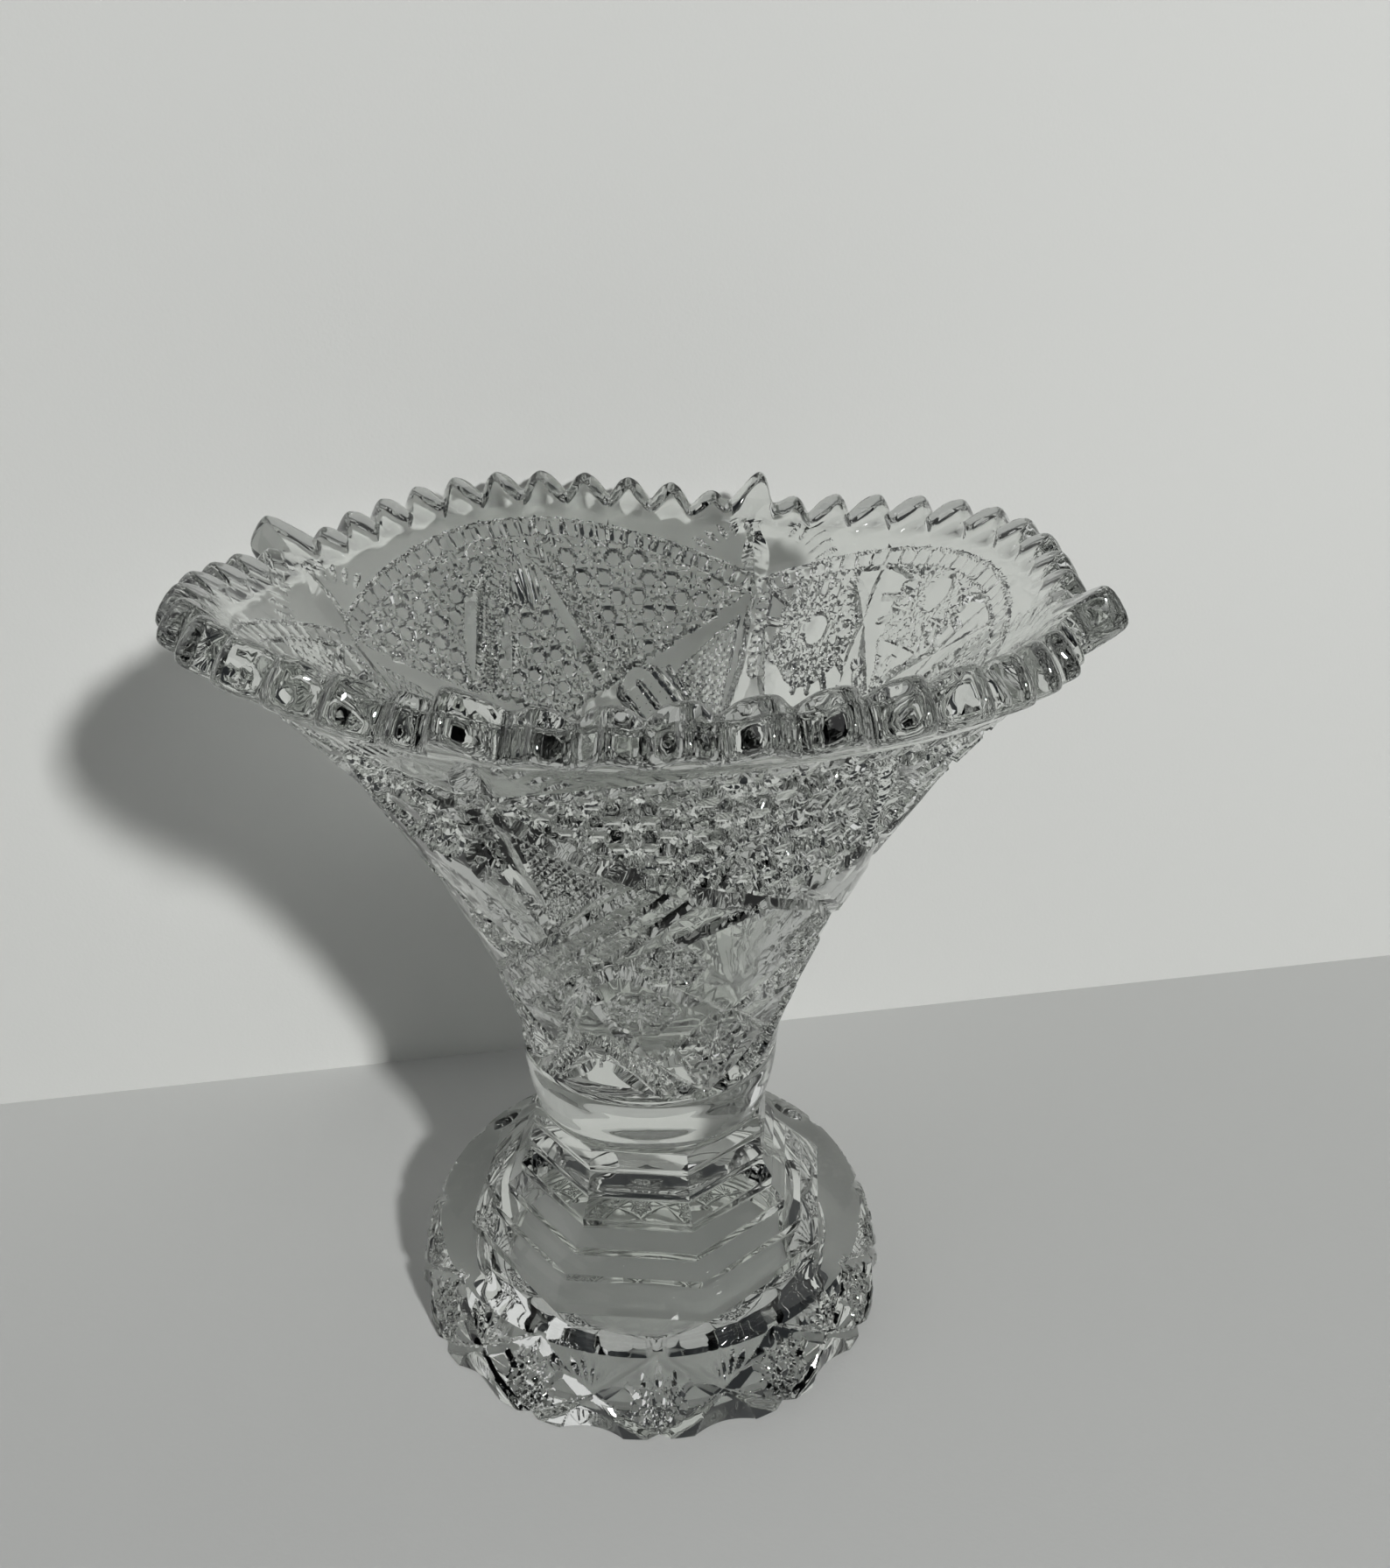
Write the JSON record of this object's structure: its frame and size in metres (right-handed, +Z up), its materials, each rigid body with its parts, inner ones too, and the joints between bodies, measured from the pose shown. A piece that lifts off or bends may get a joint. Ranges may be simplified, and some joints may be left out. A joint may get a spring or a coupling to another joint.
{
  "type": "footed vase",
  "caption": "Flared footed vase of clear pressed glass: saw-tooth rim, cut-style pattern outside, smooth collar and a stepped, scalloped foot that is hollow underneath.",
  "frame": {"origin": "on the vase's axis, at the level of the surface that the foot stands on", "axes": "+Z up along the vase's axis, out of the mouth; +Y through one of the rim's large teeth; +X through the next large tooth"},
  "size_m": [0.2174, 0.2174, 0.2104],
  "materials": {
    "clear_glass": "clear, pressed and fire-polished"
  },
  "bodies": {
    "root": {"bowl": "clear_glass", "collar": "clear_glass", "foot": "clear_glass"}
  },
  "joints": []
}
